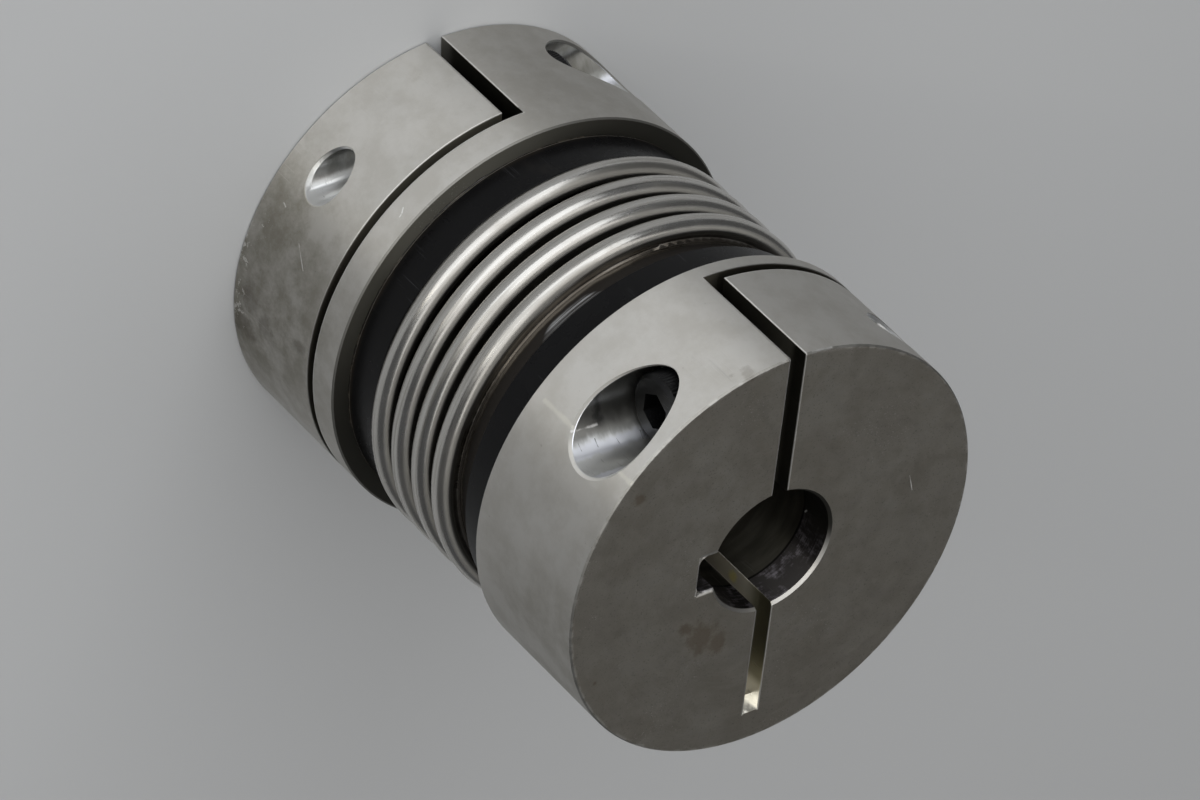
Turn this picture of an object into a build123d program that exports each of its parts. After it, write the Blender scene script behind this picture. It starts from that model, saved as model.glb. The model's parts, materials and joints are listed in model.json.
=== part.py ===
from build123d import *
import os
from math import cos, radians, sin

# Bellows coupling with two radial clamping hubs, standing on the lower hub's end face.
# Origin: centre of that face. +Z runs along the shaft axis, +Y is the upper hub's clamp slot.
# Every size is in millimetres.

os.makedirs("parts", exist_ok=True)

# ---- driving dimensions -------------------------------------------------------------

# clamping hubs
hub_diameter = 82.0
bore_diameter = 24.0
jaw_length = 23.7          # the length that grips the shaft
slit_width = 1.8           # cross cut that frees the jaw from the flange
slot_width = 3.2           # lengthwise cut that lets the jaw close
hinge_web = 6.0            # metal left at the closed end of the slot
flange_upper = 2.9
flange_lower = 6.1
keyway_width = 8.0
keyway_depth = 3.3         # measured from the bore wall
bore_chamfer = 0.5
edge_break = 0.3
hub_twist = 4.8            # degrees: how far the lower hub was bonded out of line

# bellows
crest_count = 4
crest_pitch = 6.15
crest_inset = 1.5          # from the hubs' rim in to the crests
crest_radius = 2.07        # outer radius of the rounded crest section
wave_height = 6.7          # from a crest in to a root
bellows_wall = 0.4
cuff_inset = 3.8           # from the crests in to the plain cuffs
cuff_fillet = 0.6
neck_length = 4.8          # bare cuff between the last crest and the upper ring

# cuff rings and glued joints
ring_wall = 2.03
ring_height = 8.2
ring_chamfer = 0.4
ring_mouth = 0.5           # inner bevel that clears the cuff's fillet
ring_to_crest = 0.35       # gap from the lower ring to the first crest
spigot_setback = 0.5       # each hub's spigot ends this far short of its ring
bond_gap = 0.02            # glue film, all round

# clamp screws, M8 socket head cap screws
screw_diameter = 8.0
screw_length = 30.0
screw_head_diameter = 13.0
screw_head_height = 8.0
hex_across_flats = 6.0
hex_depth = 4.0
screw_chamfer = 0.8
screw_depth = 11.5         # from the hub's rim in to the screw axis, at the slot
screw_inset = 10.5         # from the hub's end face to the screw axis
seat_offset = 12.4         # from the slot's mid-plane to the seat of the screw head
head_clearance = 1.0       # round the screw head in its counterbore
shank_clearance = 0.5      # round the shank in the attached half
thread_gap = 0.05          # round the screw in its tapped hole
counterbore_break = 0.45   # bevel round the counterbore's mouth
tapped_break = 0.15        # bevel round the tapped hole's mouth

# ---- sizes that follow ---------------------------------------------------------------

hub_radius = hub_diameter / 2
bore_radius = bore_diameter / 2
screw_offset = hub_radius - screw_depth               # from the shaft axis to the screw axis
crest_tip = hub_radius - crest_inset
crest_centre = crest_tip - crest_radius
root_outer = crest_pitch / 2 - crest_radius           # outer radius of the rounded root section
root_centre = crest_tip - wave_height + root_outer
cuff_outer = crest_tip - cuff_inset
cuff_inner = cuff_outer - bellows_wall
spigot_radius = cuff_inner - bond_gap
spigot_length = ring_height - spigot_setback
ring_inner = cuff_outer + bond_gap
ring_outer = ring_inner + ring_wall

lower_flange_z = jaw_length + slit_width + flange_lower
first_crest_z = lower_flange_z + ring_height + ring_to_crest + crest_radius
last_crest_z = first_crest_z + (crest_count - 1) * crest_pitch
upper_flange_z = last_crest_z + crest_radius + neck_length + ring_height
coupling_length = upper_flange_z + flange_upper + slit_width + jaw_length

# Each hub is drawn in its own frame: origin at the middle of its end face, z out of that
# face, y towards the mouth of the clamp slot. The screw head then lies on the -x side.
lower_y = Vector(-sin(radians(hub_twist)), cos(radians(hub_twist)), 0)
down = Vector(0, 0, -1)
upper_frame = Plane(origin=(0, 0, coupling_length), x_dir=(1, 0, 0), z_dir=(0, 0, 1))
lower_frame = Plane(origin=(0, 0, 0), x_dir=lower_y.cross(down), z_dir=down)


def section_plane(frame):
    """Half-section of a hub: sketch x is the radius and sketch y runs along the frame's z."""
    return Plane(origin=frame.origin, x_dir=frame.x_dir, z_dir=-frame.y_dir)


def screw_plane(frame, x, outward):
    """Plane square to the clamp screw, x from the slot's mid-plane, facing a side of the hub."""
    origin = frame.from_local_coords(Vector(x, screw_offset, -screw_inset))
    return Plane(origin=origin, x_dir=frame.y_dir, z_dir=frame.x_dir * outward)


def hub_blank(frame, flange):
    """The turned hub: end disc, flange and spigot in one, bored through with a keyway."""
    flange_back = -(jaw_length + slit_width + flange)
    spigot_end = flange_back - spigot_length
    with BuildSketch(section_plane(frame)) as section:
        with BuildLine():
            Polyline(
                (bore_radius + bore_chamfer, 0),
                (hub_radius - edge_break, 0),
                (hub_radius, -edge_break),
                (hub_radius, flange_back + edge_break),
                (hub_radius - edge_break, flange_back),
                (spigot_radius, flange_back),
                (spigot_radius, spigot_end + edge_break),
                (spigot_radius - edge_break, spigot_end),
                (bore_radius + bore_chamfer, spigot_end),
                (bore_radius, spigot_end + bore_chamfer),
                (bore_radius, -bore_chamfer),
                close=True,
            )
        make_face()
    revolve(section.sketch, axis=Axis(frame.origin, frame.z_dir))
    # keyway, broached through on the side of the screw head
    with BuildSketch(frame) as keyway:
        with Locations((-(bore_radius + keyway_depth) / 2, 0)):
            Rectangle(bore_radius + keyway_depth, keyway_width)
    extrude(keyway.sketch, amount=spigot_end, mode=Mode.SUBTRACT)


def clamp_cuts(frame):
    """The lengthwise slot, the cross slit and the stepped hole of the clamp screw."""
    slot_bottom = -(hub_radius - hinge_web)
    slot_top = hub_radius + slot_width
    with BuildSketch(frame) as slot:
        with Locations((0, (slot_top + slot_bottom) / 2)):
            Rectangle(slot_width, slot_top - slot_bottom)
    extrude(slot.sketch, amount=-(jaw_length + slit_width), mode=Mode.SUBTRACT)
    # the slit frees only the jaw, from the slot's far wall outwards
    with BuildSketch(frame.offset(-jaw_length)) as slit:
        with Locations((-slot_width / 2, 0)):
            Rectangle(hub_diameter, 2 * hub_diameter, align=(Align.MIN, Align.CENTER))
    extrude(slit.sketch, amount=-slit_width, mode=Mode.SUBTRACT)
    with Locations(screw_plane(frame, -hub_radius, -1)):
        CounterBoreHole(
            radius=screw_diameter / 2 + shank_clearance,
            counter_bore_radius=screw_head_diameter / 2 + head_clearance,
            counter_bore_depth=hub_radius - seat_offset,
            depth=hub_radius,
        )
    with Locations(screw_plane(frame, hub_radius, 1)):
        Hole(radius=screw_diameter / 2 + thread_gap, depth=hub_radius)
    # both mouths are saddle curves on the rim: first the tapped hole's, then the wider one
    chamfer(edges().filter_by(GeomType.BSPLINE).sort_by(SortBy.LENGTH)[0], tapped_break)
    chamfer(edges().filter_by(GeomType.BSPLINE).sort_by(SortBy.LENGTH)[-1], counterbore_break)


def clamp_screw(frame):
    """Socket head cap screw, its head on the counterbore's seat and its tip in the jaw."""
    seat = screw_plane(frame, -seat_offset, -1)
    with BuildSketch(seat) as head:
        Circle(screw_head_diameter / 2)
    extrude(head.sketch, amount=screw_head_height)
    head_rim = faces().sort_by(Axis(seat.origin, seat.z_dir))[-1].edges()
    chamfer(head_rim, screw_chamfer)
    with BuildSketch(seat) as shank:
        Circle(screw_diameter / 2)
    extrude(shank.sketch, amount=-screw_length)
    tip_rim = faces().sort_by(Axis(seat.origin, seat.z_dir))[0].edges()
    chamfer(tip_rim, screw_chamfer)
    with BuildSketch(seat.offset(screw_head_height)) as socket:
        RegularPolygon(hex_across_flats / 2, 6, major_radius=False)
    extrude(socket.sketch, amount=-hex_depth, mode=Mode.SUBTRACT)


# ---- clamping hubs -------------------------------------------------------------------

with BuildPart() as clamp_hub_upper:
    hub_blank(upper_frame, flange_upper)
    clamp_cuts(upper_frame)
clamp_hub_upper.part.label = "clamp_hub_upper"
export_step(clamp_hub_upper.part, "parts/clamp_hub_upper.step")

with BuildPart() as clamp_hub_lower:
    hub_blank(lower_frame, flange_lower)
    clamp_cuts(lower_frame)
clamp_hub_lower.part.label = "clamp_hub_lower"
export_step(clamp_hub_lower.part, "parts/clamp_hub_lower.step")

# ---- bellows -------------------------------------------------------------------------


def wall_line(skin):
    """One side of the bellows wall, from the lower cuff to the upper one.

    skin is 0 for the outer side and the wall's thickness for the inner side. Crests shrink
    by it and roots grow by it, so both sides stay one thickness apart.
    """
    crest = crest_radius - skin
    root = root_outer + skin
    corner = cuff_fillet + skin
    cuff = cuff_outer - skin
    turn = cuff_outer + cuff_fillet
    low = first_crest_z - crest_radius - cuff_fillet
    high = last_crest_z + crest_radius + cuff_fillet
    Line((cuff, lower_flange_z), (cuff, low))
    ThreePointArc(
        (cuff, low),
        (turn - corner * cos(radians(45)), low + corner * sin(radians(45))),
        (turn, low + corner),
    )
    Line((turn, low + corner), (crest_centre, low + corner))
    for index in range(crest_count):
        z = first_crest_z + index * crest_pitch
        ThreePointArc((crest_centre, z - crest), (crest_centre + crest, z), (crest_centre, z + crest))
        if index < crest_count - 1:
            middle = z + crest_pitch / 2
            Line((crest_centre, z + crest), (root_centre, z + crest))
            ThreePointArc((root_centre, middle - root), (root_centre - root, middle), (root_centre, middle + root))
            Line((root_centre, middle + root), (crest_centre, middle + root))
    Line((crest_centre, high - corner), (turn, high - corner))
    ThreePointArc(
        (turn, high - corner),
        (turn - corner * cos(radians(45)), high - corner * sin(radians(45))),
        (cuff, high),
    )
    Line((cuff, high), (cuff, upper_flange_z))


with BuildPart() as metal_bellows:
    with BuildSketch(Plane.XZ):
        with BuildLine():
            wall_line(0)
            wall_line(bellows_wall)
            Line((cuff_outer, lower_flange_z), (cuff_inner, lower_flange_z))
            Line((cuff_outer, upper_flange_z), (cuff_inner, upper_flange_z))
        make_face()
    revolve(axis=Axis.Z)
metal_bellows.part.label = "metal_bellows"
export_step(metal_bellows.part, "parts/metal_bellows.step")

# ---- cuff rings ----------------------------------------------------------------------


def cuff_ring(flange_z, towards_bellows):
    """Ring over a cuff, seated on the flange and bevelled inside at its bellows end."""
    end = flange_z + towards_bellows * ring_height
    step = towards_bellows * ring_chamfer
    mouth = towards_bellows * ring_mouth
    with BuildSketch(Plane.XZ) as section:
        with BuildLine():
            Polyline(
                (ring_inner, flange_z),
                (ring_outer - ring_chamfer, flange_z),
                (ring_outer, flange_z + step),
                (ring_outer, end - step),
                (ring_outer - ring_chamfer, end),
                (ring_inner + ring_mouth, end),
                (ring_inner, end - mouth),
                close=True,
            )
        make_face()
    revolve(section.sketch, axis=Axis.Z)


with BuildPart() as cuff_ring_upper:
    cuff_ring(upper_flange_z, -1)
cuff_ring_upper.part.label = "cuff_ring_upper"
export_step(cuff_ring_upper.part, "parts/cuff_ring_upper.step")

with BuildPart() as cuff_ring_lower:
    cuff_ring(lower_flange_z, 1)
cuff_ring_lower.part.label = "cuff_ring_lower"
export_step(cuff_ring_lower.part, "parts/cuff_ring_lower.step")

# ---- clamp screws --------------------------------------------------------------------

with BuildPart() as clamp_screw_upper:
    clamp_screw(upper_frame)
clamp_screw_upper.part.label = "clamp_screw_upper"
export_step(clamp_screw_upper.part, "parts/clamp_screw_upper.step")

with BuildPart() as clamp_screw_lower:
    clamp_screw(lower_frame)
clamp_screw_lower.part.label = "clamp_screw_lower"
export_step(clamp_screw_lower.part, "parts/clamp_screw_lower.step")
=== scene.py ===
import json
import math

import bpy
from mathutils import Matrix, Vector, noise


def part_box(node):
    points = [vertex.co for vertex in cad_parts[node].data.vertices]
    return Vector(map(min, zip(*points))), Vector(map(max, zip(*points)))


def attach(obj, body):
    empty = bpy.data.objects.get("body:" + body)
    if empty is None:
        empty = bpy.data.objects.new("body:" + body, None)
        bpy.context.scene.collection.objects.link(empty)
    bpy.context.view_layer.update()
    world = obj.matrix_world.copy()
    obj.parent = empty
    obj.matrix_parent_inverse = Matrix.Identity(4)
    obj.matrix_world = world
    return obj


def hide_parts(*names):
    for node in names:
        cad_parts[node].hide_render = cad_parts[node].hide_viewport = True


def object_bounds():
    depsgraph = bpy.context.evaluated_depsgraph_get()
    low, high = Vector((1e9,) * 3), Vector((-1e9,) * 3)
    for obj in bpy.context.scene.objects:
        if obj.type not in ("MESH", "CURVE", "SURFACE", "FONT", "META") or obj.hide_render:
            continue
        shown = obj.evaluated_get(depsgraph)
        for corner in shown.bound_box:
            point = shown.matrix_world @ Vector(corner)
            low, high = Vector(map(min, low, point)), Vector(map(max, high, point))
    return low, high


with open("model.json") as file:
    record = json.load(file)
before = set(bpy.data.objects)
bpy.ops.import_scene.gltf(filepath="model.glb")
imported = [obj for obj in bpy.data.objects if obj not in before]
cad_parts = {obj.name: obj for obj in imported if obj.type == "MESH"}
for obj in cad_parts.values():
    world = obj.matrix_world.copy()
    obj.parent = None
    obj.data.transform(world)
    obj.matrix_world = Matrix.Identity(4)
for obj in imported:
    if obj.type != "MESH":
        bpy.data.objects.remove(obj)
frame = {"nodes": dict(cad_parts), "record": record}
cad_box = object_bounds()

# The coupling stands on its lower hub. Lengths are in metres and angles in radians, unless a
# comment says otherwise.
MM = 0.001

# ---- sizes and places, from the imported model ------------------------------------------

_, upper_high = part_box("clamp_hub_upper")
_, lower_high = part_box("clamp_hub_lower")
_, bellows_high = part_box("metal_bellows")
ring_upper_low, ring_upper_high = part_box("cuff_ring_upper")
ring_lower_low, ring_lower_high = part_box("cuff_ring_lower")
screw_low, screw_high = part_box("clamp_screw_upper")

COUPLING_LENGTH = upper_high.z
HUB_RADIUS = lower_high.x
BORE_RADIUS = frame["record"]["mounts"][0]["dims"]["r_mm"] * MM
RING_RADIUS = ring_upper_high.x
CREST_TIP = bellows_high.x
SCREW_OFFSET = (screw_low.y + screw_high.y) / 2
SCREW_INSET = COUPLING_LENGTH - (screw_low.z + screw_high.z) / 2
HEAD_RADIUS = (screw_high.z - screw_low.z) / 2
HEAD_FACE = -screw_low.x
SCREW_TIP = screw_high.x

# Sizes that no box gives: the lower hub's turn on the bellows, the hubs' cuts and the screw.
HUB_TWIST = math.radians(4.8)
JAW_LENGTH = 23.7 * MM
SLIT_END = JAW_LENGTH + 1.8 * MM
SPIGOT_LENGTH = 7.7 * MM
HUB_DEPTH_UPPER = SLIT_END + 2.9 * MM + SPIGOT_LENGTH
HUB_DEPTH_LOWER = SLIT_END + 6.1 * MM + SPIGOT_LENGTH
SLOT_HALF = 1.6 * MM
SLOT_BOTTOM = HUB_RADIUS - 6.0 * MM
KEYWAY_HALF = 4.0 * MM
KEYWAY_BOTTOM = 15.3 * MM
SEAT_OFFSET = 12.4 * MM
COUNTERBORE_RADIUS = 7.5 * MM
TAPPED_RADIUS = 4.05 * MM
CUFF_RADIUS = 35.7 * MM
SCREW_RADIUS = 4.0 * MM
HEAD_HEIGHT = 8.0 * MM
HEX_ACROSS_FLATS = 6.0 * MM
HEX_DEPTH = 4.0 * MM
THREAD_PITCH = 1.25 * MM

# Each hub has its own frame: origin at the middle of its end face, z out of that face and
# y towards its clamp slot. The screw's head lies on the -x side.
upper_frame = Matrix.Translation((0, 0, COUPLING_LENGTH))
lower_frame = Matrix.Rotation(HUB_TWIST, 4, "Z") @ Matrix.Rotation(math.pi, 4, "Y")

# ---- node graphs ----------------------------------------------------------------------


class Field:
    """A number, vector or colour that changes over a surface. Arithmetic on it adds nodes."""

    def __init__(self, graph, socket):
        self.graph = graph
        self.socket = socket

    def __add__(self, other):
        return self.graph.math("ADD", self, other)

    def __sub__(self, other):
        return self.graph.math("SUBTRACT", self, other)

    def __rsub__(self, other):
        return self.graph.math("SUBTRACT", other, self)

    def __mul__(self, other):
        return self.graph.math("MULTIPLY", self, other)

    def __truediv__(self, other):
        return self.graph.math("DIVIDE", self, other)

    def __neg__(self):
        return self.graph.math("MULTIPLY", self, -1.0)

    def __abs__(self):
        return self.graph.math("ABSOLUTE", self)

    def __or__(self, other):
        """The larger of the two, which is where either mask lies."""
        return self.graph.math("MAXIMUM", self, other)

    def fade(self, start, end, low=0.0, high=1.0):
        """low where this is at start, high where it is at end, and a smooth step between."""
        inputs = {"Value": self, "From Min": start, "From Max": end, "To Min": low, "To Max": high}
        return self.graph.add("MapRange", "Result", inputs, interpolation_type="SMOOTHSTEP")

    def blend(self, first, second):
        """The first number where this mask is 0, and the second where it is 1."""
        return self.graph.mix("FLOAT", self, first, second)

    def blend_vectors(self, first, second):
        return self.graph.mix("VECTOR", self, first, second)

    def blend_colours(self, first, second):
        return self.graph.mix("RGBA", self, first, second)

    def coat(self, *coats):
        """This colour under coats of others, each given by its mask and its colour."""
        colour = self
        for mask, over in coats:
            colour = mask.blend_colours(colour, over)
        return colour


class Graph:
    """A node tree, with short words for the nodes that go into it."""

    def __init__(self, tree):
        self.tree = tree

    def feed(self, socket, value):
        """Link a field to a socket, or set the socket to a number, a vector or a colour."""
        if isinstance(value, Field):
            self.tree.links.new(value.socket, socket)
        elif socket.type == "RGBA":
            socket.default_value = (*value, 1.0)
        else:
            socket.default_value = value

    def add(self, kind, output, inputs, **settings):
        """Add a shader node, and give the field that it puts out."""
        node = self.tree.nodes.new("ShaderNode" + kind)
        for key, value in settings.items():
            setattr(node, key, value)
        for key, value in inputs.items():
            self.feed(node.inputs[key], value)
        return Field(self, node.outputs[output])

    def math(self, operation, *values, clamp=False):
        return self.add("Math", 0, dict(enumerate(values)), operation=operation, use_clamp=clamp)

    def vector_math(self, operation, *vectors, **others):
        """A vector, or a number where the operation measures something."""
        output = "Value" if operation in ("DISTANCE", "DOT_PRODUCT", "LENGTH") else "Vector"
        inputs = {**dict(enumerate(vectors)), **others}
        return self.add("VectorMath", output, inputs, operation=operation)

    def mix(self, kind, factor, first, second):
        """The first where the factor is 0, and the second where it is 1."""
        node = self.tree.nodes.new("ShaderNodeMix")
        node.data_type = kind
        node.clamp_factor = True
        socket_type = "VALUE" if kind == "FLOAT" else kind
        ends = [end for end in node.inputs if end.type == socket_type and end.name in ("A", "B")]
        self.feed(node.inputs["Factor"], factor)
        self.feed(ends[0], first)
        self.feed(ends[1], second)
        return Field(self, [end for end in node.outputs if end.type == socket_type][0])

    def number(self, value):
        """A field that is the same everywhere."""
        node = self.tree.nodes.new("ShaderNodeValue")
        node.outputs[0].default_value = value
        return Field(self, node.outputs[0])

    def surface(self, output):
        """Where a point of the piece is, "Object", or the way that it faces, "Normal"."""
        return self.add("TexCoord", output, {})

    def split(self, vector):
        first = self.add("SeparateXYZ", "X", {"Vector": vector})
        return [Field(self, socket) for socket in first.socket.node.outputs]

    def join(self, x, y, z):
        return self.add("CombineXYZ", 0, {"X": x, "Y": y, "Z": z})

    def move(self, place, location=(0, 0, 0), rotation=(0, 0, 0), scale=(1, 1, 1)):
        inputs = {"Vector": place, "Location": location, "Rotation": rotation, "Scale": scale}
        return self.add("Mapping", 0, inputs)

    def turn(self, direction, rotation):
        inputs = {"Vector": direction, "Rotation": rotation}
        return self.add("Mapping", 0, inputs, vector_type="VECTOR")

    def cloud(self, vector, scale, detail=3.0, roughness=0.55, distortion=0.0):
        inputs = {
            "Vector": vector,
            "Scale": scale,
            "Detail": detail,
            "Roughness": roughness,
            "Distortion": distortion,
        }
        return self.add("TexNoise", "Fac", inputs)

    def radius(self, first, second):
        """How far a place is from the axis that two of its coordinates are measured from."""
        return self.vector_math("LENGTH", self.join(first, second, 0.0))

    def largest(self, first, *others):
        for other in others:
            first = self.math("MAXIMUM", first, other)
        return first

    def smallest(self, first, *others):
        for other in others:
            first = self.math("MINIMUM", first, other)
        return first

    def effect(self, group, **inputs):
        """Place a shared effect, and give the fields that it puts out, by name."""
        node = self.tree.nodes.new("ShaderNodeGroup")
        node.node_tree = group
        for key, value in inputs.items():
            self.feed(node.inputs[key.replace("_", " ").capitalize()], value)
        return {socket.name: Field(self, socket) for socket in node.outputs}


def new_effect(name, inputs, outputs):
    """A shared effect: a node group's graph, the fields that enter it and its result sockets."""
    tree = bpy.data.node_groups.new(name, "ShaderNodeTree")
    for label, default in inputs.items():
        kind = "NodeSocketVector" if isinstance(default, tuple) else "NodeSocketFloat"
        socket = tree.interface.new_socket(label, in_out="INPUT", socket_type=kind)
        socket.default_value = default
    for label in outputs:
        tree.interface.new_socket(label, in_out="OUTPUT", socket_type="NodeSocketFloat")
    graph = Graph(tree)
    entry = tree.nodes.new("NodeGroupInput")
    result = tree.nodes.new("NodeGroupOutput")
    return graph, {socket.name: Field(graph, socket) for socket in entry.outputs}, result.inputs


def make_tool_lines_effect():
    """Fine lines that a tool leaves round the z axis, a feed apart and broken along their length."""
    inputs = {"Vector": (0, 0, 0), "Feed position": 0.0, "Feed": 0.0005, "Run": 2.0}
    graph, entry, result = new_effect("tool_lines", inputs, ["Lines", "Bands"])
    x, y, _ = graph.split(entry["Vector"])
    x, y, _ = graph.split(graph.vector_math("NORMALIZE", graph.join(x, y, 0.0)))
    step = entry["Feed position"] / entry["Feed"]
    fine = graph.join(x * entry["Run"], y * entry["Run"], step)
    coarse = graph.join(x, y, step * 0.13)
    graph.feed(result["Lines"], graph.cloud(fine, 1.0, detail=2.0, roughness=0.6))
    graph.feed(result["Bands"], graph.cloud(coarse, 1.0, detail=3.0, roughness=0.6))
    return graph.tree


def make_scratch_effect():
    """Thin straight scratches in three directions, gathered where handling reached."""
    inputs = {"Vector": (0, 0, 0), "Scale": 1.0, "Amount": 0.5}
    graph, entry, result = new_effect("scratches", inputs, ["Scratches"])
    scaled = graph.vector_math("SCALE", entry["Vector"], Scale=entry["Scale"])
    layers = []
    for turn, seed in (((0.3, 0.5, 0.2), 1.0), ((1.2, -0.4, 0.9), 7.0), ((-0.7, 0.9, 2.1), 13.0)):
        along = graph.move(scaled, location=(seed, seed, seed), rotation=turn, scale=(2400, 2400, 75))
        layers.append(graph.cloud(along, 1.0, detail=1.0).fade(0.69, 0.74))
    start = 0.75 - entry["Amount"] * 0.4
    handled = graph.cloud(scaled, 70.0, detail=2.0).fade(start, start + 0.1)
    graph.feed(result["Scratches"], graph.largest(*layers) * handled)
    return graph.tree


def make_grime_effect():
    """Soft uneven dirt: cloudy patches, and a few small specks where it is thicker."""
    inputs = {"Vector": (0, 0, 0), "Size": 0.02, "Cover": 0.5}
    graph, entry, result = new_effect("grime", inputs, ["Patches", "Specks"])
    scale = graph.math("DIVIDE", 1.0, entry["Size"])
    broad = graph.cloud(entry["Vector"], scale, detail=5.0, roughness=0.62, distortion=0.4)
    start = 0.8 - entry["Cover"] * 0.5
    graph.feed(result["Patches"], broad.fade(start, start + 0.22))
    dots = graph.cloud(entry["Vector"], scale * 14.0, detail=2.0, roughness=0.7)
    graph.feed(result["Specks"], dots.fade(0.72, 0.78) * broad.fade(0.48, 0.6))
    return graph.tree


def make_broken_edge_effect():
    """The small round that wear gives an edge, from the distance to that edge."""
    inputs = {"Distance": 0.0, "Width": 0.0003, "Uneven": 0.5}
    graph, entry, result = new_effect("broken_edge", inputs, ["Edge", "Height"])
    width = entry["Width"] * graph.math("ADD", 0.5, entry["Uneven"])
    inside = (width - entry["Distance"]) | 0.0
    graph.feed(result["Edge"], graph.math("DIVIDE", inside, width, clamp=True))
    graph.feed(result["Height"], (inside * inside) / (width * -2.0))
    return graph.tree


def make_line_mark_effect():
    """How far a place is from the straight line between two points, for a single scratch."""
    inputs = {"Vector": (0, 0, 0), "Start": (0, 0, 0), "End": (0, 0, 0)}
    graph, entry, result = new_effect("line_mark", inputs, ["Distance"])
    reach = graph.vector_math("SUBTRACT", entry["Vector"], entry["Start"])
    run = graph.vector_math("SUBTRACT", entry["End"], entry["Start"])
    along = graph.vector_math("DOT_PRODUCT", reach, run)
    length = graph.vector_math("DOT_PRODUCT", run, run)
    share = graph.math("DIVIDE", along, length, clamp=True)
    nearest = graph.vector_math("SCALE", run, Scale=share)
    graph.feed(result["Distance"], graph.vector_math("DISTANCE", reach, nearest))
    return graph.tree


tool_lines = make_tool_lines_effect()
scratch_effect = make_scratch_effect()
grime_effect = make_grime_effect()
broken_edge = make_broken_edge_effect()
line_mark = make_line_mark_effect()

# ---- materials ------------------------------------------------------------------------


def new_material(name):
    """An empty node material, the graph in it and its Principled shader."""
    material = bpy.data.materials.new(name)
    material.use_nodes = True
    return material, Graph(material.node_tree), material.node_tree.nodes["Principled BSDF"]


def bump(graph, shader, height):
    """Height is in metres."""
    inputs = {"Height": height, "Distance": 1.0, "Strength": 1.0}
    graph.feed(shader.inputs["Normal"], graph.add("Bump", "Normal", inputs))


def in_metres(point):
    return tuple(value * MM for value in point)


def stain_marks(graph, vector, stains, ragged):
    """A mask of uneven stains, each given by its place and size in millimetres."""
    mask = graph.number(0.0)
    for point, size in stains:
        reach = graph.vector_math("DISTANCE", vector, in_metres(point)) * (1.0 / (size * MM))
        mask = (reach + (ragged - 0.5) * 5.0).fade(1.2, 0.3) | mask
    return mask


def scratch_marks(graph, vector, scratches, uneven, sway=2.0):
    """A mask of single scratches, each given by its two ends and its width in millimetres."""
    mask = graph.number(0.0)
    for start, end, width in scratches:
        ends = {"start": in_metres(start), "end": in_metres(end)}
        reach = graph.effect(line_mark, vector=vector, **ends)["Distance"]
        reach = reach + (uneven - 0.5) * (width * sway * MM)
        mask = reach.fade(width * 0.75 * MM, width * 0.1 * MM) | mask
    return mask


class HubPlace:
    """Where a point is on a hub: in the hub's frame, and beside the screw's axis."""

    def __init__(self, graph, hub_frame):
        to_hub = hub_frame.inverted()
        turn = tuple(to_hub.to_euler())
        self.coupling = graph.surface("Object")
        self.hub = graph.move(self.coupling, location=tuple(to_hub.translation), rotation=turn)
        self.facing_x, _, self.facing_z = graph.split(graph.turn(graph.surface("Normal"), turn))
        self.x, self.y, self.z = graph.split(self.hub)
        self.depth = -self.z
        self.radius = graph.radius(self.x, self.y)
        self.below_rim = HUB_RADIUS - self.radius
        self.screw_y = self.y - SCREW_OFFSET
        self.screw_z = self.z + SCREW_INSET
        self.screw_radius = graph.radius(self.screw_y, self.screw_z)


class HubSurfaces:
    """Masks of a hub's surfaces, from where they lie and the way they face."""

    def __init__(self, at):
        flat = abs(at.facing_z)
        upright = flat.fade(0.45, 0.25)
        inside_rim = at.radius.fade(HUB_RADIUS - 0.05 * MM, HUB_RADIUS - 0.15 * MM)
        self.end_face = flat.fade(0.8, 0.95) * at.depth.fade(0.5 * MM, 0.3 * MM)
        self.beyond_face = 1.0 - self.end_face

        head_wall = at.screw_radius.fade(COUNTERBORE_RADIUS + 0.1 * MM, COUNTERBORE_RADIUS + 0.05 * MM)
        before_seat = at.x.fade(-SEAT_OFFSET + 0.4 * MM, -SEAT_OFFSET + 0.1 * MM)
        self.counterbore = head_wall * before_seat * abs(at.facing_x).fade(0.75, 0.6) * inside_rim
        tapped_wall = at.screw_radius.fade(TAPPED_RADIUS + 0.12 * MM, TAPPED_RADIUS + 0.08 * MM)
        inside_lip = at.radius.fade(HUB_RADIUS - 0.05 * MM, HUB_RADIUS - 0.12 * MM)
        self.screw_hole = self.counterbore | (tapped_wall * at.x.fade(2 * MM, 3 * MM) * inside_lip)

        round_bore = at.radius.fade(BORE_RADIUS + 0.15 * MM, BORE_RADIUS + 0.1 * MM)
        key_width = abs(at.y).fade(KEYWAY_HALF + 0.1 * MM, KEYWAY_HALF + 0.05 * MM)
        key_reach = at.radius.fade(KEYWAY_BOTTOM + MM, KEYWAY_BOTTOM + 0.5 * MM)
        keyway = key_width * at.x.fade(-8.0 * MM, -9.0 * MM) * key_reach
        self.bore = (round_bore | keyway) * self.beyond_face * upright
        bore_mouth = at.radius.fade(BORE_RADIUS + MM, BORE_RADIUS + 0.7 * MM)
        self.bore_bevel = bore_mouth * self.beyond_face * (1.0 - upright)

        slot_side = abs(at.x).fade(SLOT_HALF + 0.1 * MM, SLOT_HALF + 0.05 * MM)
        within_jaw = at.depth.fade(SLIT_END + 0.1 * MM, SLIT_END)
        self.slot_wall = slot_side * self.beyond_face * inside_rim * within_jaw
        self.slit_wall = flat.fade(0.8, 0.95) * at.depth.fade(2 * MM, 3 * MM)
        flange_depth = SLIT_END + 2 * MM
        self.shoulder = flat.fade(0.35, 0.6) * at.depth.fade(flange_depth, flange_depth + 0.4 * MM)
        near_rim = at.radius.fade(HUB_RADIUS - 0.5 * MM, HUB_RADIUS - 0.35 * MM)
        self.rim_bevel = flat.fade(0.3, 0.5) * flat.fade(0.95, 0.85) * near_rim


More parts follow.
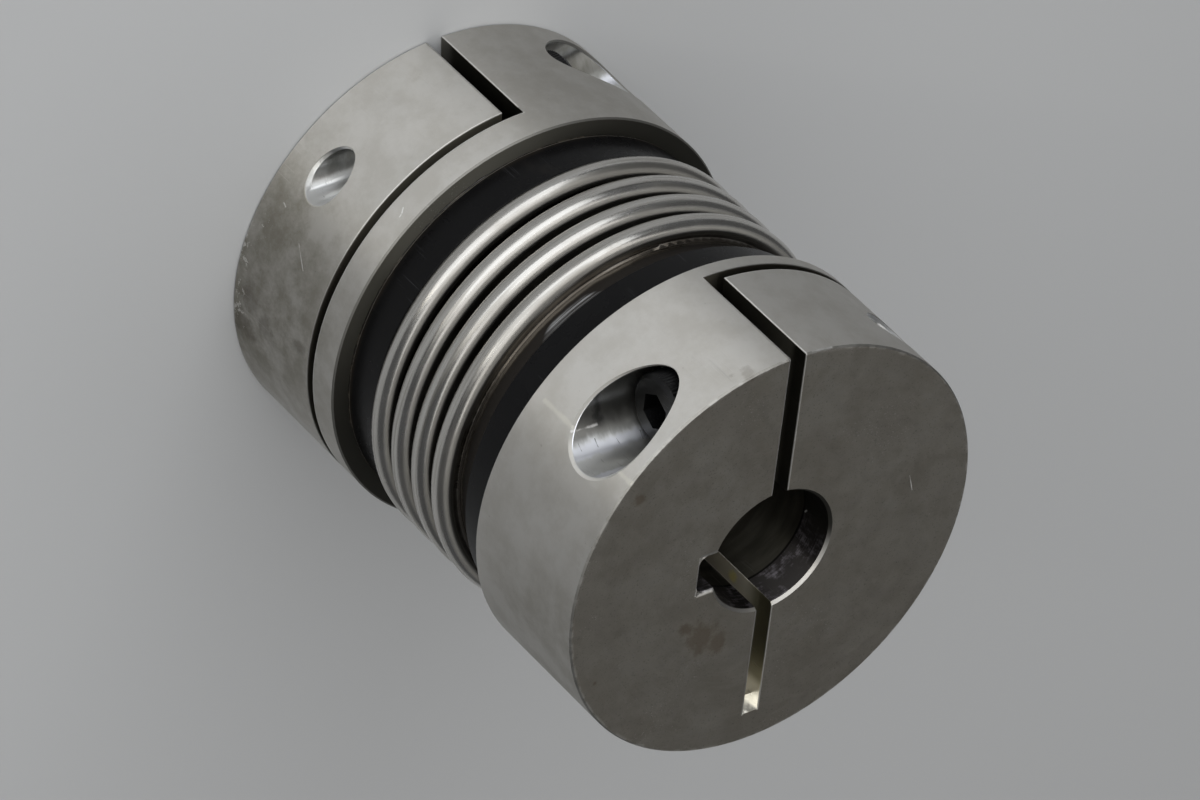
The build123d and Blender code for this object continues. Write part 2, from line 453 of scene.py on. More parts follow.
class HubTextures:
    """The patterns that the tool, handling and dirt leave on a hub."""

    def __init__(self, graph, at, on):
        # tool lines run round the shaft's axis or, in the screw's holes, round the screw
        tool_place = on.screw_hole.blend_vectors(at.hub, graph.join(at.screw_y, at.screw_z, at.x))
        feed_position = on.screw_hole.blend(on.end_face.blend(at.z, at.radius), at.x)
        turned = graph.effect(
            tool_lines, vector=tool_place, feed_position=feed_position, feed=0.38 * MM, run=2.4
        )
        self.lines = turned["Lines"]
        self.bands = turned["Bands"]
        self.grain = graph.cloud(at.coupling, 2600.0, detail=2.0, roughness=0.75)
        self.mottle = graph.cloud(at.coupling, 420.0, detail=4.0, roughness=0.65)
        self.ragged = graph.cloud(at.coupling, 170.0, detail=5.0, roughness=0.6)
        self.clouds = graph.cloud(at.coupling, 34.0, detail=4.0, roughness=0.55, distortion=0.6)
        blotches = graph.cloud(at.coupling, 110.0, detail=7.0, roughness=0.74)
        self.patchy = graph.mix("FLOAT", 0.4, blotches, self.ragged)
        self.scratches = graph.effect(scratch_effect, vector=at.coupling, amount=0.5)["Scratches"]
        grime = graph.effect(grime_effect, vector=at.coupling, size=0.014, cover=0.34)
        self.dirt = grime["Patches"]
        self.specks = grime["Specks"]


def hub_edge_distances(graph, at):
    """How far a point is from the nearest sharp edge, and from the edges of the keyway's sides."""
    slit_edge = graph.largest(
        graph.smallest(abs(at.depth - JAW_LENGTH), abs(at.depth - SLIT_END)),
        at.below_rim,
        -SLOT_HALF - at.x,
    )
    slot_gap = abs(abs(at.x) - SLOT_HALF)
    slot_face_edge = graph.largest(slot_gap, at.depth, -SLOT_BOTTOM - at.y)
    slot_rim_edge = graph.largest(slot_gap, at.below_rim, at.depth - JAW_LENGTH, -at.y)
    key_end_edge = graph.largest(abs(at.x + KEYWAY_BOTTOM), at.depth, abs(at.y) - KEYWAY_HALF)
    key_side_edge = graph.largest(
        abs(abs(at.y) - KEYWAY_HALF),
        at.depth,
        at.x + 11.3 * MM,
        (0.7 * MM - KEYWAY_BOTTOM) - at.x,
    )
    return graph.smallest(slit_edge, slot_face_edge, slot_rim_edge, key_end_edge), key_side_edge


class HubWear:
    """Masks of a hub's worn edges, nicks, stains and rubbed places, and of its painted light and shade.

    history gives, in millimetres in the coupling's frame, the stains; the nicks and scores, which
    are bright and dark scratches; the reflection streaks, soft pale lines of painted reflection; and
    the place where knocks have nicked the rim and made the metal beside it dull, with their strength.
    Beside the knocks the metal is darkened also as painted shade.
    """

    def __init__(self, graph, at, on, tex, history):
        edges, key_edges = hub_edge_distances(graph, at)
        self.edges = graph.effect(broken_edge, distance=edges, width=0.26 * MM, uneven=tex.ragged)
        self.key_edges = graph.effect(broken_edge, distance=key_edges, width=0.6 * MM, uneven=tex.ragged)
        # a rubbed rim, lightened also as a painted highlight along the end face's edge
        rim = at.below_rim.fade(0.9 * MM, 0.1 * MM) * at.depth.fade(0.9 * MM, 0.1 * MM)
        self.rubbed_rim_and_highlight = rim * tex.mottle.fade(0.45, 0.6)

        strength = history["knock_strength"]
        knock_reach = graph.vector_math("DISTANCE", at.coupling, in_metres(history["knock_place"]))
        near_face = at.depth.fade(9 * MM, 0.5 * MM, 0.12, 1.0)
        knocked = knock_reach.fade(24 * MM, 9 * MM) * near_face * strength
        small_clouds = graph.cloud(at.coupling, 650.0, detail=4.0, roughness=0.78)
        flecks = graph.mix("FLOAT", 0.3, small_clouds, tex.ragged)
        fleck_start = 0.67 - knocked * 0.12
        flecks = flecks.fade(fleck_start, fleck_start + 0.035)
        self.knocks = flecks * knocked.fade(0.03, 0.25) * on.beyond_face
        # scuffed dull metal beside the knocks, darkened there also as painted shade on the side away from
        # the light
        around_knocks = knock_reach.fade(34 * MM, 14 * MM, 0.12, 1.0)
        self.dulled_and_shaded = tex.patchy.fade(0.36, 0.62, 0.35, 1.0) * around_knocks * strength * on.beyond_face

        broken = graph.mix("FLOAT", 0.45, tex.ragged, tex.mottle)
        self.stains = stain_marks(graph, at.coupling, history["stains"], broken)
        self.nicks = scratch_marks(graph, at.coupling, history["nicks"], tex.mottle)
        self.scores = scratch_marks(graph, at.coupling, history["scores"], tex.mottle)
        # painted reflection: a soft pale streak along the axis
        self.reflection_streaks = scratch_marks(graph, at.coupling, history["reflection_streaks"], tex.mottle, sway=1.2)

        # a dark streak down the counterbore's wall, and what a shaft has left in the bore
        streak_gap = abs(at.x + (tex.mottle - 0.5) * (3.6 * MM) + 26.9 * MM)
        streak = on.counterbore * streak_gap.fade(1.4 * MM, 0.05 * MM)
        streak = streak * at.screw_y.fade(-5.2 * MM, -3.8 * MM)
        self.dark_streak = streak * at.screw_z.fade(-3.0 * MM, -4.5 * MM)
        self.shaft_mark = on.bore * abs(at.depth - 7.3 * MM).fade(0.3 * MM, 0.12 * MM)
        self.scored_bore = on.bore * at.depth.fade(7.5 * MM, 7.1 * MM)
        bore_place = graph.move(at.hub, scale=(700, 700, 420))
        bore_grain = graph.cloud(bore_place, 1.0, detail=4.0, roughness=0.7)
        self.bore_scores = graph.mix("FLOAT", 0.35, bore_grain, tex.lines)


def end_face_shaded_colour(tex):
    """The matte grey of a faced end, cloudy and speckled, darkened well below the turned metal as painted
    shade.
    """
    return tex.clouds.fade(0.3, 0.7).blend_colours((0.302, 0.289, 0.259), (0.262, 0.246, 0.216)).coat(
        (tex.patchy.fade(0.42, 0.62, 0.0, 0.6), (0.222, 0.205, 0.173)),
        (tex.lines.fade(0.5, 0.68, 0.0, 0.22), (0.30, 0.289, 0.262)),
        (tex.grain.fade(0.42, 0.30), (0.19, 0.177, 0.155)),
    )


def bore_colour(at, tex, wear):
    """Dull brown, darkened by oxide and as painted shade, with bright scores where a shaft has turned."""
    plain = tex.bands.fade(0.3, 0.7).blend_colours((0.135, 0.128, 0.104), (0.075, 0.070, 0.056))
    scores = wear.bore_scores.fade(0.44, 0.62).blend_colours((0.085, 0.076, 0.075), (0.40, 0.37, 0.40))
    scores = scores.coat(
        (tex.ragged.fade(0.54, 0.42), (0.10, 0.092, 0.088)),
        # painted shade on the bore's +y side
        (at.y.fade(-7 * MM, 1 * MM), (0.06, 0.057, 0.05)),
    )
    return wear.scored_bore.blend_colours(plain, scores)


def slot_colour(graph, at, tex):
    """Sawn metal in painted shade near the face and on the +y side, painted light far along, a painted
    warm highlight.
    """
    # a small painted warm highlight on the wall beyond the bore
    warm_highlight_reach = graph.vector_math("DISTANCE", at.hub, in_metres((1.6, -14.0, -11.2)))
    warm_highlight = (warm_highlight_reach + tex.mottle * (1.6 * MM)).fade(2.4 * MM, 1.4 * MM)
    # painted shade near the face, in a tan stretch half way along and on the +y side; painted light
    # deeper in and at the end
    return at.depth.fade(4 * MM, 8 * MM).blend_colours((0.34, 0.325, 0.245), (0.85, 0.82, 0.745)).coat(
        (at.y.fade(-19 * MM, -29 * MM), (0.43, 0.41, 0.32)),
        (at.y.fade(-28.5 * MM, -31 * MM), (0.92, 0.89, 0.80)),
        (at.y.fade(0.0, 6 * MM), (0.20, 0.19, 0.16)),
        (warm_highlight, (1.0, 0.94, 0.55)),
    )


def screw_hole_colour(at, on, tex):
    """Bright bored walls, oily on the end face's side, painted shade where they face along the shaft, a
    painted reflection between.
    """
    oily = at.screw_z.fade(1.5 * MM, 4.0 * MM) * tex.bands.fade(0.62, 0.36, 0.45, 1.0)
    # painted shade and a painted reflection, laid by the way each wall faces
    wall_side = abs(at.facing_z) + (tex.bands - 0.5) * 0.35
    painted_wall_shade = wall_side.fade(0.54, 0.72) * on.counterbore
    painted_reflection_band = wall_side.fade(0.24, 0.36) * wall_side.fade(0.64, 0.50) * on.counterbore
    return tex.lines.fade(0.36, 0.30).blend_colours((0.82, 0.825, 0.83), (0.62, 0.625, 0.63)).coat(
        (oily * 0.75, (0.17, 0.165, 0.145)),
        (tex.clouds.fade(0.4, 0.6, 0.0, 0.25), (0.62, 0.61, 0.54)),
        (painted_wall_shade * 0.65, (0.17, 0.165, 0.14)),
        (painted_reflection_band, (0.93, 0.94, 0.99)),
    )


def hub_colour(graph, at, on, tex, wear):
    """The colour of each surface, some in painted shade, then dirt, wear, painted highlights and a
    painted reflection over all.
    """
    return tex.clouds.blend_colours((0.74, 0.725, 0.695), (0.66, 0.64, 0.60)).coat(
        (tex.bands.fade(0.3, 0.75), (0.70, 0.685, 0.65)),
        (tex.patchy.fade(0.40, 0.62, 0.0, 0.25), (0.44, 0.41, 0.35)),
        # dull scuffs, and painted shade on the side away from the light
        (wear.dulled_and_shaded * 0.72, (0.27, 0.250, 0.195)),
        # the end face, in painted shade
        (on.end_face, end_face_shaded_colour(tex)),
        (on.bore, bore_colour(at, tex, wear)),
        (wear.shaft_mark, (0.02, 0.018, 0.016)),
        (on.slot_wall, slot_colour(graph, at, tex)),
        # painted shade on the bore's bevel, towards its +y side
        (on.bore_bevel * at.y.fade(-5 * MM, 1 * MM), (0.12, 0.115, 0.10)),
        # painted shade in the slit and on the shoulder beside the ring
        (on.slit_wall, (0.135, 0.125, 0.100)),
        (on.shoulder, (0.142, 0.137, 0.117)),
        (on.rim_bevel * 0.8, (0.42, 0.408, 0.38)),
        (on.screw_hole, screw_hole_colour(at, on, tex)),
        (tex.dirt * 0.30, (0.36, 0.32, 0.26)),
        (tex.specks * 0.5, (0.16, 0.12, 0.09)),
        (wear.stains * on.end_face.blend(0.26, 0.62), (0.135, 0.105, 0.075)),
        (wear.knocks * 0.8, (0.88, 0.87, 0.84)),
        # rubbed rim, and a painted highlight along it
        (wear.rubbed_rim_and_highlight * 0.4, (0.74, 0.73, 0.70)),
        # worn edges, lightened also as a painted highlight along them
        ((wear.key_edges["Edge"] | wear.edges["Edge"]) * 0.7, (0.82, 0.81, 0.78)),
        # painted reflection streak
        (wear.reflection_streaks * 0.42, (0.90, 0.885, 0.80)),
        (wear.dark_streak * 0.65, (0.06, 0.06, 0.062)),
        (wear.scores * 0.85, (0.12, 0.115, 0.11)),
        (wear.nicks * 0.85, (0.93, 0.925, 0.91)),
        (tex.scratches * 0.18, (0.78, 0.77, 0.74)),
    )


def hub_roughness(at, on, tex, wear):
    rough = tex.clouds.fade(0.3, 0.7, 0.44, 0.50)
    rough = on.end_face.blend(rough, tex.mottle.fade(0.3, 0.7, 0.42, 0.48))
    rough = on.rim_bevel.blend(rough, 0.55)
    rough = on.bore.blend(rough, 0.40)
    rough = on.slot_wall.blend(rough, at.depth.fade(2.5 * MM, 4.5 * MM, 0.30, 0.62))
    rough = on.screw_hole.blend(rough, tex.lines.fade(0.3, 0.6, 0.33, 0.28))
    rough = rough + tex.dirt * 0.06 + wear.stains * 0.10 + wear.knocks * 0.12
    return rough + tex.scratches * -0.08 + wear.dulled_and_shaded * 0.08 + wear.nicks * 0.1


def hub_groove_direction(graph, hub_frame, at, on):
    """Round the shaft or the screw, as the grooves run. The matte end face has none."""
    x, y, _ = graph.split(at.coupling)
    round_shaft = graph.join(-y, x, 0.0)
    round_screw = graph.join(0.0, -at.screw_z, at.screw_y)
    round_screw = graph.turn(round_screw, tuple(hub_frame.to_euler()))
    speckle_place = graph.move(at.coupling, scale=(9000, 9000, 9000))
    speckle = graph.add("TexWhiteNoise", "Color", {"Vector": speckle_place})
    any_way = graph.vector_math("SUBTRACT", speckle, (0.5, 0.5, 0.5))
    return on.screw_hole.blend_vectors(on.end_face.blend_vectors(round_shaft, any_way), round_screw)


def hub_relief(on, tex, wear):
    line_height = on.bore.blend(on.screw_hole.blend(1.2e-6, 0.9e-6), 5e-6)
    height = tex.lines * line_height + tex.grain * on.end_face.blend(1.2e-6, 5e-6)
    height = height + tex.mottle * 3e-6 + tex.scratches * -7e-6
    height = height + wear.knocks * -4e-5 + wear.rubbed_rim_and_highlight * -2e-5
    height = height + wear.scored_bore * (wear.bore_scores * 2.0e-5) + wear.edges["Height"]
    return height + wear.key_edges["Height"] + wear.nicks * -2e-5 + wear.dulled_and_shaded * -3e-6


def make_hub_material(name, hub_frame, history):
    """Bare turned aluminium, with the finish of each surface of a hub where the tool left it."""
    material, graph, shader = new_material(name)
    at = HubPlace(graph, hub_frame)
    on = HubSurfaces(at)
    tex = HubTextures(graph, at, on)
    wear = HubWear(graph, at, on, tex, history)
    graph.feed(shader.inputs["Base Color"], hub_colour(graph, at, on, tex, wear))
    graph.feed(shader.inputs["Roughness"], hub_roughness(at, on, tex, wear))
    graph.feed(shader.inputs["Tangent"], hub_groove_direction(graph, hub_frame, at, on))
    shader.inputs["Metallic"].default_value = 1.0
    shader.inputs["Anisotropic"].default_value = 0.86
    shader.inputs["Anisotropic Rotation"].default_value = 0.25
    bump(graph, shader, hub_relief(on, tex, wear))
    return material


# Painted highlights on the neck, where it faces the light: the middle and half width of each in
# degrees round the axis, and its reach from the ring in millimetres.
NECK_HIGHLIGHTS = ((121, 15.0, 3.0), (93.3, 4.0, 1.5))


def painted_neck_highlights(graph, x, y, radius, from_ring, ragged):
    """Painted highlights beside a ring, where the neck faces the light, in patches that taper to their
    ends.
    """
    mask = graph.number(0.0)
    for middle, half_width, reach in NECK_HIGHLIGHTS:
        turn = math.radians(middle)
        facing = x * math.cos(turn) + y * math.sin(turn)
        facing = facing / radius + ragged * 0.01
        edge = math.cos(math.radians(half_width))
        core = math.cos(math.radians(half_width * 0.3))
        share = facing.fade(edge, core)
        patch = (from_ring / (share | 0.05)).fade((reach + 0.2) * MM, (reach - 0.8) * MM)
        mask = (patch * (share * share)) | mask
    return mask


def make_bellows_material():
    """Formed stainless sheet: bright rolled crests, grooves dull and dirty and in painted shade, painted
    light and shade on the necks.
    """
    material, graph, shader = new_material("formed_stainless")
    place = graph.surface("Object")
    _, _, facing_up = graph.split(graph.surface("Normal"))
    x, y, along = graph.split(place)
    radius = graph.radius(x, y)
    across = along + radius * 0.7
    drawn = graph.effect(tool_lines, vector=place, feed_position=across, feed=0.22 * MM, run=1.6)
    lines = drawn["Lines"]
    bands = drawn["Bands"]
    rolled = graph.effect(tool_lines, vector=place, feed_position=across, feed=0.52 * MM, run=1.2)
    rolled = rolled["Lines"]
    grain = graph.cloud(place, 2600.0, detail=2.0, roughness=0.7)
    clouds = graph.cloud(place, 60.0, detail=4.0, roughness=0.6)
    ragged = graph.cloud(place, 170.0, detail=5.0, roughness=0.6) - 0.5
    dirt = graph.effect(grime_effect, vector=place, size=0.011, cover=0.45)["Patches"]

    # dust lies on the crests' upward sides; old dirt and painted shade darken the grooves and the necks
    # beside the rings, and painted highlights lie on the neck's fillet and in a few patches
    near_tip = radius.fade(CREST_TIP - 2.0 * MM, CREST_TIP - 1.5 * MM)
    dust = facing_up.fade(0.78, 0.97) * clouds.fade(0.3, 0.6, 0.7, 1.0) * near_tip
    from_ring = graph.smallest(ring_upper_low.z - along, along - ring_lower_high.z)
    from_ring = from_ring + ragged * (0.8 * MM)
    on_cuff = radius.fade(CUFF_RADIUS + 1.6 * MM, CUFF_RADIUS + 0.9 * MM)
    neck = from_ring.fade(5.3 * MM, 4.6 * MM) * on_cuff
    # painted highlight: a thin bright line where the neck's fillet catches the light
    fillet_highlight = neck * abs(from_ring - 4.0 * MM).fade(0.34 * MM, 0.12 * MM)
    # painted shade, darkest on the neck right beside the ring
    shaded_beside_ring = neck * from_ring.fade(3.75 * MM, 3.4 * MM)
    # painted highlights beside the rings, where the neck faces the light
    neck_highlight = painted_neck_highlights(graph, x, y, radius, from_ring, ragged)
    neck_highlight = neck_highlight * shaded_beside_ring * bands.fade(0.62, 0.40, 0.35, 1.0)
    groove = radius.fade(CREST_TIP - 1.65 * MM, CREST_TIP - 2.5 * MM)
    groove_dirt_and_shade = groove * clouds.fade(0.35, 0.6, 0.8, 1.0) * (1.0 - neck)
    scratches = graph.effect(scratch_effect, vector=place, scale=1.3, amount=0.4)["Scratches"]
    scratches = scratches * (1.0 - neck)

    neck_dirt_and_shade_colour = bands.fade(0.35, 0.65).blend_colours((0.15, 0.132, 0.11), (0.085, 0.074, 0.062))
    neck_highlight_colour = lines.fade(0.42, 0.56).blend_colours((0.11, 0.105, 0.10), (0.70, 0.71, 0.73))
    colour = clouds.blend_colours((0.57, 0.558, 0.535), (0.47, 0.455, 0.425)).coat(
        (lines.fade(0.35, 0.65), (0.62, 0.61, 0.588)),
        (dust * 0.8, (0.50, 0.48, 0.43)),
        (bands * 0.35, (0.48, 0.45, 0.40)),
        (rolled.fade(0.48, 0.34, 0.0, 0.6), (0.33, 0.315, 0.285)),
        (dirt * 0.35, (0.32, 0.285, 0.235)),
        # dirt and painted shade in the grooves
        (groove_dirt_and_shade, (0.052, 0.046, 0.034)),
        # dirt and painted shade on the necks, darkest beside the rings
        (neck, neck_dirt_and_shade_colour),
        (shaded_beside_ring, (0.045, 0.040, 0.036)),
        # painted highlight on the neck's fillet
        (fillet_highlight * 0.8, (0.34, 0.315, 0.28)),
        # painted highlights on the neck
        (neck_highlight, neck_highlight_colour),
        (scratches * 0.2, (0.80, 0.785, 0.755)),
    )
    rough = clouds.fade(0.3, 0.7, 0.22, 0.30) + lines * 0.08 + dirt * 0.08
    rough = rough + rolled.fade(0.5, 0.36, -0.05, 0.06)
    rough = (groove_dirt_and_shade | shaded_beside_ring).blend(rough, 0.5)
    rough = neck_highlight.blend(rough, 0.25) + dust * 0.12
    height = lines * 3.5e-6 + rolled * 6e-6 + grain * 1.4e-6 + clouds * 4e-5
    height = height + scratches * -3e-6 + neck * (ragged * 6e-5)
    graph.feed(shader.inputs["Base Color"], colour)
    graph.feed(shader.inputs["Roughness"], rough)
    graph.feed(shader.inputs["Metallic"], 1.0 - dust * 0.55)
    bump(graph, shader, height)
    return material


def make_ring_material(name, flange_edge, edge_wear_and_highlight):
    """Black anodised ring with a soft shine, handled and dusty, worn through along one edge, where a
    painted highlight lies too.
    """
    material, graph, shader = new_material(name)
    place = graph.surface("Object")
    _, _, along = graph.split(place)
    lines = graph.effect(tool_lines, vector=place, feed_position=along, feed=0.3 * MM, run=2.0)["Lines"]
    clouds = graph.cloud(place, 90.0, detail=5.0, roughness=0.6, distortion=0.5)
    grain = graph.cloud(place, 2800.0, detail=2.0, roughness=0.7)
    scratches = graph.effect(scratch_effect, vector=place, scale=1.1, amount=0.55)["Scratches"]
    grime = graph.effect(grime_effect, vector=place, size=0.009, cover=0.42)
    dirt = grime["Patches"]
    edge_gap = abs(along - flange_edge)
    dirty_edge = edge_gap.fade(1.6 * MM, 0.2 * MM) * clouds.fade(0.4, 0.6)
    ragged_gap = edge_gap + (clouds - 0.5) * (0.9 * MM)
    # the worn edge: a thin light line, also a painted highlight along the ring's edge
    worn = abs(ragged_gap - 0.42 * MM).fade(0.16 * MM, 0.05 * MM) * edge_wear_and_highlight
    worn = worn * dirt.fade(0.9, 0.3, 0.2, 1.0)
    colour = clouds.blend_colours((0.0035, 0.0035, 0.004), (0.0085, 0.0082, 0.0085)).coat(
        (dirt * 0.5, (0.020, 0.018, 0.016)),
        (dirty_edge * 0.5, (0.040, 0.031, 0.022)),
        (grime["Specks"] * 0.5, (0.12, 0.115, 0.11)),
        (scratches * 0.3, (0.07, 0.07, 0.075)),
        (worn * 0.8, (0.42, 0.39, 0.35)),
    )
    rough = clouds.fade(0.3, 0.7, 0.22, 0.36) + dirt * 0.12 + dirty_edge * 0.15
    graph.feed(shader.inputs["Base Color"], colour)
    graph.feed(shader.inputs["Metallic"], worn * 0.9)
    graph.feed(shader.inputs["Roughness"], rough)
    shader.inputs["Specular IOR Level"].default_value = 0.13
    bump(graph, shader, lines * 2.0e-6 + grain * 1.2e-6 + scratches * -4e-6 + clouds * 2e-5)
    return material


def make_screw_material():
    """Black oxide on steel, oily and a little rubbed."""
    material, graph, shader = new_material("black_oxide")
    place = graph.surface("Object")
    clouds = graph.cloud(place, 300.0, detail=4.0, roughness=0.6)
    grain = graph.cloud(place, 4200.0, detail=2.0, roughness=0.7)
    scratches = graph.effect(scratch_effect, vector=place, scale=1.8, amount=0.6)["Scratches"]
    dirt = graph.effect(grime_effect, vector=place, size=0.004, cover=0.5)["Patches"]
    colour = clouds.blend_colours((0.010, 0.0105, 0.011), (0.022, 0.0215, 0.022)).coat(
        (dirt * 0.5, (0.028, 0.022, 0.017)),
        (scratches * 0.3, (0.10, 0.10, 0.10)),
    )
    graph.feed(shader.inputs["Base Color"], colour)
    graph.feed(shader.inputs["Roughness"], clouds.fade(0.3, 0.7, 0.36, 0.5))
    shader.inputs["Metallic"].default_value = 0.8
    bump(graph, shader, grain * 2.5e-6 + scratches * -5e-6)
    return material


def make_glue_material():
    """Cured retaining glue: a glossy dark amber film with dirt in it."""
    material, graph, shader = new_material("cured_glue")
    place = graph.surface("Object")
    clouds = graph.cloud(place, 260.0, detail=4.0, roughness=0.6)
    dirt = graph.effect(grime_effect, vector=place, size=0.003, cover=0.5)["Patches"]
    colour = clouds.fade(0.45, 0.7).blend_colours((0.012, 0.010, 0.008), (0.09, 0.075, 0.055))
    graph.feed(shader.inputs["Base Color"], colour.coat((dirt * 0.7, (0.012, 0.010, 0.009))))
    graph.feed(shader.inputs["Roughness"], clouds.fade(0.35, 0.65, 0.10, 0.3))
    shader.inputs["IOR"].default_value = 1.52
    bump(graph, shader, clouds * 4e-5)
    return material


def dress(node_name, material):
    """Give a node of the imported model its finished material."""
    for slot in frame["nodes"][node_name].material_slots:
        slot.material = material


upper_history = {
    "stains": (
        ((-13.1, -13.7, 104.14), 4.0),
        ((-9.6, -16.6, 104.14), 2.4),
        ((-16.4, -10.9, 104.14), 1.9),
        ((-29.7, 21.6, 104.14), 1.4),
        ((-34.4, -15.5, 104.14), 0.5),
        ((-9.6, 39.9, 102.9), 1.4),
        ((-11.6, 39.3, 101.6), 0.9),
    ),
    "nicks": (
        ((11.95, -0.3, 97.6), (11.95, -0.8, 97.2), 0.30),
        ((28.0, 6.0, 104.14), (29.0, 2.5, 104.14), 0.14),
        ((3.0, 40.9, 103.9), (7.0, 40.3, 103.9), 0.35),
        ((-32.2, 25.2, 87.25), (-27.4, 25.2, 87.45), 0.50),
    ),
    "scores": (
        ((-28.6, 23.6, 89.0), (-28.7, 22.8, 90.3), 0.16),
        ((-24.8, 23.0, 89.9), (-24.7, 22.4, 91.0), 0.16),
        ((-31.9, 23.7, 88.9), (-31.9, 22.9, 90.1), 0.14),
        ((-20.0, 23.0, 89.9), (-20.3, 22.4, 91.4), 0.14),
    ),
    # a painted reflection: a soft pale streak along the axis
    "reflection_streaks": (((-31.9, 25.8, 78.8), (-31.9, 25.8, 104.1), 0.85),),
    "knock_place": (-36.0, -19.0, 104.0),
    "knock_strength": 0.35,
}
lower_history = {
    "stains": (
        ((-40.9, 0.7, 5.1), 3.6),
        ((-40.6, -5.7, 3.4), 4.2),
        ((-40.9, -2.0, 9.6), 3.2),
        ((-40.9, 0.6, 21.0), 1.8),
    ),
    "nicks": (
        ((-37.4, 16.8, 13.0), (-38.6, 13.8, 16.6), 0.20),
        ((-35.8, 20.0, 5.3), (-35.95, 19.7, 6.2), 0.30),
        ((-27.1, 30.75, 27.9), (-27.7, 30.2, 28.5), 0.20),
        ((-27.95, 29.98, 28.6), (-28.25, 29.7, 28.7), 0.16),
    ),
    "scores": (),
    "reflection_streaks": (),
    "knock_place": (-39.9, 5.0, 3.0),
    "knock_strength": 1.0,
}
upper_hub_material = make_hub_material("turned_aluminium_upper", upper_frame, upper_history)
lower_hub_material = make_hub_material("turned_aluminium_lower", lower_frame, lower_history)
screw_material = make_screw_material()
glue_material = make_glue_material()

dress("clamp_hub_upper", upper_hub_material)
dress("clamp_hub_lower", lower_hub_material)
dress("metal_bellows", make_bellows_material())
dress("cuff_ring_upper", make_ring_material("black_ring_upper", ring_upper_high.z, 0.15))
dress("cuff_ring_lower", make_ring_material("black_ring_lower", ring_lower_low.z, 1.0))

# ---- modelling helpers ----------------------------------------------------------------


def make_active(piece):
    bpy.ops.object.select_all(action="DESELECT")
    piece.select_set(True)
    bpy.context.view_layer.objects.active = piece


def add_piece(primitive, **settings):
    """Add a primitive, with nothing else selected."""
    bpy.ops.object.select_all(action="DESELECT")
    primitive(**settings)
    return bpy.context.object


def apply_place():
    bpy.ops.object.transform_apply(location=True, rotation=True, scale=True)


def enter_edit_mode():
    bpy.ops.object.mode_set(mode="EDIT")


def leave_edit_mode():
    bpy.ops.object.mode_set(mode="OBJECT")


def select_vertices(piece, wanted):
    """In edit mode, select just the vertices whose place passes the test."""
    bpy.ops.mesh.select_mode(type="VERT")
    bpy.ops.mesh.select_all(action="DESELECT")
    leave_edit_mode()
    for vertex in piece.data.vertices:
        vertex.select = wanted(vertex.co)
    enter_edit_mode()


def apply_modifier(piece, kind, **settings):
    make_active(piece)
    modifier = piece.modifiers.new(kind.lower(), kind)
    for key, value in settings.items():
        setattr(modifier, key, value)
    bpy.ops.object.modifier_apply(modifier=modifier.name)


def cut_with(piece, cutter, operation="DIFFERENCE"):
    """Cut a piece with another mesh, or keep only what both hold, and drop the cutter."""
    apply_modifier(piece, "BOOLEAN", object=cutter, operation=operation, solver="EXACT")
    bpy.data.objects.remove(cutter, do_unlink=True)


def join_pieces(pieces):
    make_active(pieces[0])
    for piece in pieces:
        piece.select_set(True)
    bpy.ops.object.join()
    return bpy.context.object


def copy_piece(piece):
    """A copy with its own mesh."""
    make_active(piece)
    bpy.ops.object.duplicate(linked=False)
    return bpy.context.object


def clean_mesh(piece, smooth_degrees):
    """Merge doubles, turn every face outwards and smooth all but the sharp edges."""
    make_active(piece)
    enter_edit_mode()
    bpy.ops.mesh.select_all(action="SELECT")
    bpy.ops.mesh.remove_doubles(threshold=1e-6)
    bpy.ops.mesh.normals_make_consistent(inside=False)
    leave_edit_mode()
    bpy.ops.object.shade_smooth_by_angle(angle=math.radians(smooth_degrees))


def finish_piece(piece, name, material, place, hidden_nodes=()):
    """Put a finished mesh in its place, name it and let it ride on the part."""
    make_active(piece)
    piece.matrix_world = place @ piece.matrix_world
    apply_place()
    piece.name = name
    piece.data.name = name
    piece.data.materials.clear()
    piece.data.materials.append(material)
    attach(piece, "root")
    if hidden_nodes:
        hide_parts(*hidden_nodes)


def thread_ridge(root_radius, crest_radius, crest_width, length):
    """A right-hand thread's ridge round +Z, a closed solid of V section rising from z = 0."""
    root_half = THREAD_PITCH * 0.46
    crest_half = crest_width / 2
    ridge = add_piece(bpy.ops.mesh.primitive_plane_add, size=1)
    section = (
        (root_radius, 0, -root_half),
        (root_radius, 0, root_half),
        (crest_radius, 0, -crest_half),
        (crest_radius, 0, crest_half),
    )
    for vertex, corner in zip(ridge.data.vertices, section):
        vertex.co = corner
    enter_edit_mode()
    bpy.ops.mesh.select_all(action="SELECT")
    bpy.ops.mesh.delete(type="ONLY_FACE")
    leave_edit_mode()
    turns = length / THREAD_PITCH
    steps = int(36 * turns)
    apply_modifier(
        ridge,
        "SCREW",
        axis="Z",
        angle=math.tau * turns,
        screw_offset=length,
        steps=steps,
        render_steps=steps,
        use_smooth_shade=False,
    )
    enter_edit_mode()
    bpy.ops.mesh.select_all(action="SELECT")
    bpy.ops.mesh.remove_doubles(threshold=1e-7)
    bpy.ops.mesh.fill_holes(sides=4)
    bpy.ops.mesh.select_all(action="SELECT")
    bpy.ops.mesh.normals_make_consistent(inside=False)
    leave_edit_mode()
    return ridge


# ---- clamp screws ---------------------------------------------------------------------

KNURLS = 60
KNURL_DEPTH = 0.16 * MM
HEAD_CHAMFER = 0.8 * MM
TIP_CHAMFER = 0.8 * MM
CORE_RADIUS = 3.36 * MM
SHANK_LENGTH = HEAD_FACE + SCREW_TIP - HEAD_HEIGHT
HEAD_TOP = SHANK_LENGTH + HEAD_HEIGHT


